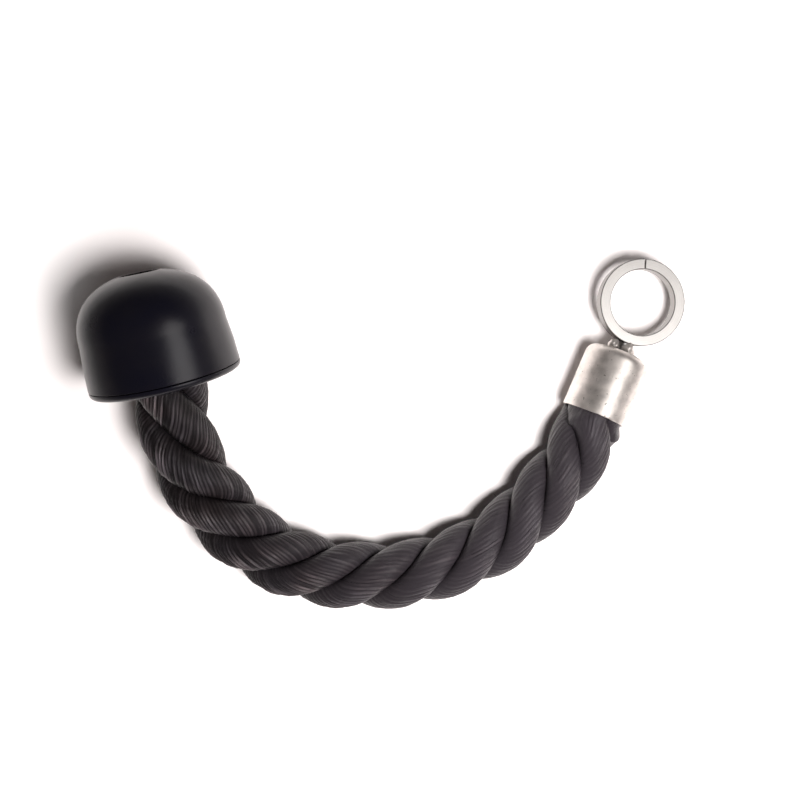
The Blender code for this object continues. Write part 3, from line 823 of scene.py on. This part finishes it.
def rope_fibre():
    """Charcoal yarns with painted shade, paled and dulled by painted haze towards the ferrule."""
    material, nodes, place = new_material("charcoal_rope_fibre", (0.045, 0.041, 0.045), 0.55)
    own_uv = nodes.add("ShaderNodeUVMap", uv_map="UVMap").outputs["UV"]
    fibre = nodes.noise(nodes.scaled(own_uv, (FIBRES_ALONG, FIBRES_AROUND, 1)), 1.0, 2.0)
    cloud = nodes.noise(place, ROPE_CLOUDS)
    crest = nodes.add("ShaderNodeAttribute", attribute_name="yarn_crest_and_shade").outputs["Fac"]
    thread = nodes.ramp(fibre, THREAD)
    warm = nodes.mix(1.0, thread, WARMER, "MULTIPLY")
    tinted = nodes.mix(nodes.grey_ramp(cloud, [(0.35, 0.0), (0.65, 1.0)]), thread, warm)
    # painted shade in the yarn valleys, the creases and the shaded sides, multiplied into the colour
    valley = nodes.grey_ramp(crest, [(0.0, 0.08), (0.5, 0.45), (1.0, 1.0)])
    # painted haze: a plain tone and an even gloss that cover the threads more from left to right
    x = nodes.add("ShaderNodeSeparateXYZ", [(place, "Vector")]).outputs["X"]
    pale = nodes.add("ShaderNodeMapRange", [(x, "Value")], From_Min=HAZE_FROM, From_Max=HAZE_UNTIL,
                     To_Max=HAZE_MOST).outputs[0]
    # the gloss is lowered where the painted shade is
    sheen = nodes.grey_ramp(crest, [(0.10, 0.20), (0.50, 0.70), (0.90, 1.0)])
    nodes.give(Base_Color=nodes.mix(pale, nodes.mix(1.0, tinted, valley, "MULTIPLY"), PAINTED_HAZE),
               Specular_IOR_Level=nodes.mix(pale, sheen, HAZE_SPECULAR),
               Roughness=nodes.grey_ramp(fibre, [(0.2, 0.44), (0.8, 0.26)]),
               Normal=nodes.bump(fibre, FIBRE_DEPTH))
    return material


rope_mesh.materials.append(rope_fibre())
print("rope material reads the UV map", rope_mesh.uv_layers[0].name)

# %% [markdown]
# ## Rubber and metals
# Moulded rubber is smooth but never flat: broad weak waves bend the lamp's band on it,
# and a grain too fine to see softens it. The plated metals share one recipe of slow
# clouds, grain and pits, without which metal looks drawn.

# %% Moulded rubber
RUBBER_CLOUDS, RUBBER_WAVES, RUBBER_GRAIN = 70, 140, 2600      # cells to a metre
WAVE_DEPTH, GRAIN_DEPTH = 0.00016, 0.00003
RUBBER_COLORS = [(0.3, (0.002, 0.002, 0.0045)), (0.7, (0.003, 0.0027, 0.0045))]
RUBBER_SHINE = 0.37


def moulded_rubber():
    """Black rubber with a satin gloss."""
    material, nodes, place = new_material("black_moulded_rubber", (0.0025, 0.0025, 0.004), 0.30)
    cloud = nodes.noise(place, RUBBER_CLOUDS)
    grain = nodes.noise(place, RUBBER_GRAIN)
    wave = nodes.bump(nodes.noise(place, RUBBER_WAVES, 1.0), WAVE_DEPTH, 0.6)
    nodes.shader.inputs["Specular IOR Level"].default_value = RUBBER_SHINE
    nodes.give(Base_Color=nodes.ramp(cloud, RUBBER_COLORS),
               Roughness=nodes.grey_ramp(cloud, [(0.3, 0.27), (0.7, 0.32)]),
               Normal=nodes.bump(grain, GRAIN_DEPTH, 0.5, wave))
    return material


rubber = moulded_rubber()
rubber_pieces = (bell_cover, bell_disc, bell_plug)
for piece in rubber_pieces:
    piece.data.materials.append(rubber)
print("rubber on", len(rubber_pieces), "pieces")

# %% Metals
METAL_CLOUDS, METAL_GRAIN, METAL_PITS = 180, 1500, 900         # cells to a metre
PIT_COLOR = (0.36, 0.33, 0.30)
RING_LINES = (26, 4, 1)          # faint lines across the bar's width and depth


def plated_metal(name, color, worn, roughness, pits=0.0, metallic=1.0):
    """A metal with slow clouds in its colour and gloss, fine grain, and small pits where asked."""
    material, nodes, place = new_material(name, color, roughness, metallic)
    cloud = nodes.noise(place, METAL_CLOUDS)
    grain = nodes.noise(place, METAL_GRAIN)
    surface = nodes.mix(nodes.grey_ramp(cloud, [(0.35, 0.0), (0.7, 1.0)]), color, worn)
    normal = nodes.bump(grain, GRAIN_DEPTH, 0.6)
    if pits:
        spots = nodes.grey_ramp(nodes.noise(place, METAL_PITS, 1.0), [(0.23, 0.0), (0.30, 1.0)])
        surface = nodes.mix(spots, PIT_COLOR, surface)
        normal = nodes.bump(spots, pits, 1.0, normal)
    nodes.give(Base_Color=surface, Normal=normal,
               Roughness=nodes.grey_ramp(cloud, [(0.3, roughness + 0.05), (0.7, roughness - 0.03)]))
    return material


def ring_steel():
    """Bright steel with faint turning lines, and painted shade along the bar's edges and walls."""
    material = plated_metal("polished_steel", (0.80, 0.785, 0.76), (0.71, 0.695, 0.67), 0.42)
    nodes = Nodes(material)
    across = nodes.add("ShaderNodeUVMap", uv_map="section").outputs["UV"]
    halves = nodes.add("ShaderNodeSeparateXYZ", [(across, "Vector")])
    nearest = []
    for name in ("X", "Y"):
        other = nodes.math("SUBTRACT", 1.0, halves.outputs[name])
        nearest.append(nodes.math("MINIMUM", halves.outputs[name], other))
    squares = [nodes.math("MULTIPLY", side, side) for side in nearest]
    from_edge = nodes.math("SQRT", nodes.math("ADD", *squares))
    lines = nodes.noise(nodes.scaled(across, RING_LINES), 1.0, 1.0)
    # painted shade: a thin dark line along the bar's edges, and darker inner and outer walls
    edge = nodes.grey_ramp(from_edge, [(0.03, 0.16), (0.10, 1.0)])
    wall = nodes.grey_ramp(nearest[0], [(0.0, 0.42), (0.03, 1.0)])
    base = nodes.shader.inputs["Base Color"].links[0].from_socket
    turned = nodes.mix(1.0, base, nodes.grey_ramp(lines, [(0.35, 0.86), (0.6, 1.0)]), "MULTIPLY")
    nodes.give(Base_Color=nodes.mix(1.0, nodes.mix(1.0, turned, wall, "MULTIPLY"), edge, "MULTIPLY"))
    return material


LOOKS = {
    "satin_nickel": plated_metal("satin_nickel", (0.93, 0.88, 0.83), (0.60, 0.565, 0.53), 0.42,
                                 pits=0.00006, metallic=0.91),
    "polished_steel": ring_steel(),
    "weld_steel": plated_metal("weld_steel", (0.84, 0.80, 0.76), (0.50, 0.47, 0.44), 0.32,
                               pits=0.00005, metallic=0.84),
    "plated_steel": plated_metal("plated_steel", (0.55, 0.54, 0.53), (0.42, 0.41, 0.40), 0.36),
    "brass": plated_metal("turned_brass", (0.62, 0.45, 0.20), (0.48, 0.33, 0.14), 0.32),
}
for piece in (ferrule_cup, bar_ring, neck_stud, *weld_beads):
    piece.data.materials.append(LOOKS[piece["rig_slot"]])
print("metals:", ", ".join(LOOKS))

# %% Tape and resin
WEAVE_CELLS, WEAVE_DEPTH = 2200, 0.0001
RESIN_CLOUDS = 300
RESIN_COLORS = [(0.3, (0.30, 0.16, 0.04)), (0.7, (0.42, 0.25, 0.08))]


def cloth_tape():
    """Matte black tape with a fine weave."""
    material, nodes, place = new_material("black_cloth_tape", (0.02, 0.02, 0.02), 0.85)
    weave = nodes.noise(place, WEAVE_CELLS, 1.0)
    nodes.give(Base_Color=nodes.grey_ramp(weave, [(0.3, 0.012), (0.7, 0.03)]),
               Normal=nodes.bump(weave, WEAVE_DEPTH))
    return material


def amber_resin():
    """Set resin with slow clouds."""
    material, nodes, place = new_material("amber_resin", (0.35, 0.20, 0.06), 0.3)
    cloud = nodes.noise(place, RESIN_CLOUDS)
    nodes.give(Base_Color=nodes.ramp(cloud, RESIN_COLORS))
    return material


LOOKS["cloth_tape"] = cloth_tape()
LOOKS["resin"] = amber_resin()

# %% Materials for the CAD nodes inside
slots = {row["node"]: row["material_slot"] for row in frame["record"]["subparts"]}
for name, node in frame["nodes"].items():
    if node.hide_render:         # a dressed piece stands for it
        continue
    node.data.materials.clear()
    node.data.materials.append(LOOKS[slots[name]])
    print(name, "wears", slots[name])

# %% [markdown]
# ## Floor and light
# In the photograph the rubber mirrors a large soft light on the right as one pale band,
# while the shadows fall to the upper left, dark beside the object and gone a few
# centimetres away, as a smaller lamp above the ring casts them. One lamp can't do both.
# So an overhead key casts the shadows and isn't mirrored, and a soft box on the right is
# only mirrored. The table is burnt out to white. More power would burn out the shadows
# too, so plain white is added to a pale floor with the distance from the object, for
# the camera and, weaker, for reflections. The room is dim, but brighter low down and
# towards -Y, which gives the metal its bands.

# %% Floor
FLOOR_SIZE = 6.0
FLOOR_COLOR = (0.88, 0.85, 0.845)
FLOOR_WHITE = 0.45               # plain white added for the camera and for reflections
OBJECT_MIDDLE = (0.0, -0.04, 0.0)
WHITE_FROM, WHITE_UNTIL = 0.15, 0.21     # the white rises over these distances from the middle
MIRRORED_SHARE = 0.55            # how much of it is seen in a reflection


def shown_rays(nodes):
    """A value that is 1 for rays from the camera and less for mirrored or refracted ones."""
    path = nodes.add("ShaderNodeLightPath")
    total = path.outputs["Is Camera Ray"]
    for name in ("Is Glossy Ray", "Is Transmission Ray"):
        total = nodes.math("MULTIPLY_ADD", path.outputs[name], MIRRORED_SHARE, total)
    return total


floor_shape = bmesh.new()
bmesh.ops.create_grid(floor_shape, x_segments=1, y_segments=1, size=FLOOR_SIZE / 2)
floor_mesh = bpy.data.meshes.new("floor")
floor_shape.to_mesh(floor_mesh)
floor_shape.free()
floor = placed("floor", floor_mesh)

floor_material = bpy.data.materials.new("white_table")
floor_material.use_nodes = True
nodes = Nodes(floor_material, emptied=True)
matte = nodes.add("ShaderNodeBsdfDiffuse", Color=(*FLOOR_COLOR, 1))
place = nodes.add("ShaderNodeTexCoord").outputs["Object"]
far_out = nodes.add("ShaderNodeVectorMath", [(place, 0)], operation="DISTANCE")
far_out.inputs[1].default_value = OBJECT_MIDDLE
rise = nodes.add("ShaderNodeMapRange", [(far_out.outputs["Value"], "Value")],
                 interpolation_type="SMOOTHSTEP", From_Min=WHITE_FROM, From_Max=WHITE_UNTIL)
shown_far = nodes.math("MULTIPLY", shown_rays(nodes), rise.outputs[0])
strength = nodes.math("MULTIPLY", shown_far, FLOOR_WHITE)
glow = nodes.add("ShaderNodeEmission", [(strength, "Strength")])
both = nodes.add("ShaderNodeAddShader", [(matte.outputs[0], 0), (glow.outputs[0], 1)])
nodes.add("ShaderNodeOutputMaterial", [(both.outputs[0], "Surface")])
floor_mesh.materials.append(floor_material)
print("floor:", FLOOR_SIZE, "m wide, white from", WHITE_UNTIL, "m on")

# %% The two lamps
LAMP_COLOR = (1.0, 0.965, 0.955)
SOFT_PLACE, SOFT_AIM = Vector((0.255, -0.080, 0.390)), Vector((-0.08, -0.01, 0.05))
SOFT_SIZE, SOFT_POWER = (0.31, 0.24), 0.75
KEY_PLACE, KEY_AIM = Vector((0.117, -0.117, 0.41)), Vector((0, 0, 0))
KEY_SIZE, KEY_POWER = (0.135, 0.135), 4.0


def area_lamp(name, place, aim, size, power):
    """A rectangular lamp that faces the point it is aimed at."""
    data = bpy.data.lights.new(name, "AREA")
    data.shape = "RECTANGLE"
    data.size, data.size_y = size
    data.energy = power
    data.color = LAMP_COLOR
    lamp = placed(name, data)
    lamp.location = place
    lamp.rotation_euler = (place - aim).to_track_quat("Z", "Y").to_euler()
    return lamp


soft_box = area_lamp("soft_box", SOFT_PLACE, SOFT_AIM, SOFT_SIZE, SOFT_POWER)
key = area_lamp("overhead_key", KEY_PLACE, KEY_AIM, KEY_SIZE, KEY_POWER)
key.visible_glossy = False
soft_box.visible_diffuse = False
print("lamps:", soft_box.name, "and", key.name)

# %% Dim room, white behind
ROOM_LIGHT = 0.06
HORIZON_LIGHT = 0.30
LOW_UNTIL, HIGH_FROM = 0.15, 0.40        # the upward parts of a ray between which it falls
NEAR_SIDE, FAR_SIDE = 1.4, 0.7           # shares of the light towards -Y and +Y
ROOM_COLOR = (1.0, 0.88, 0.85)

world = bpy.data.worlds.new("room")
bpy.context.scene.world = world
world.use_nodes = True
nodes = Nodes(world, emptied=True)
direction = nodes.add("ShaderNodeTexCoord").outputs["Generated"]
parts = nodes.add("ShaderNodeSeparateXYZ", [(direction, 0)])
by_height = nodes.add("ShaderNodeMapRange", [(parts.outputs["Z"], "Value")], From_Min=LOW_UNTIL,
                      From_Max=HIGH_FROM, To_Min=HORIZON_LIGHT, To_Max=ROOM_LIGHT)
by_side = nodes.add("ShaderNodeMapRange", [(parts.outputs["Y"], "Value")], From_Min=-1.0,
                    To_Min=NEAR_SIDE, To_Max=FAR_SIDE)
room_light = nodes.math("MULTIPLY", by_height.outputs[0], by_side.outputs[0])
dim = nodes.add("ShaderNodeBackground", [(room_light, "Strength")], Color=(*ROOM_COLOR, 1))
white = nodes.add("ShaderNodeBackground", Strength=1.0)
camera_ray = nodes.add("ShaderNodeLightPath").outputs["Is Camera Ray"]
chosen = nodes.add("ShaderNodeMixShader", [(camera_ray, 0), (dim.outputs[0], 1), (white.outputs[0], 2)])
nodes.add("ShaderNodeOutputWorld", [(chosen.outputs[0], "Surface")])

bpy.context.scene.view_settings.view_transform = "Standard"
print("room light:", ROOM_LIGHT, "above and", HORIZON_LIGHT, "at the horizon")
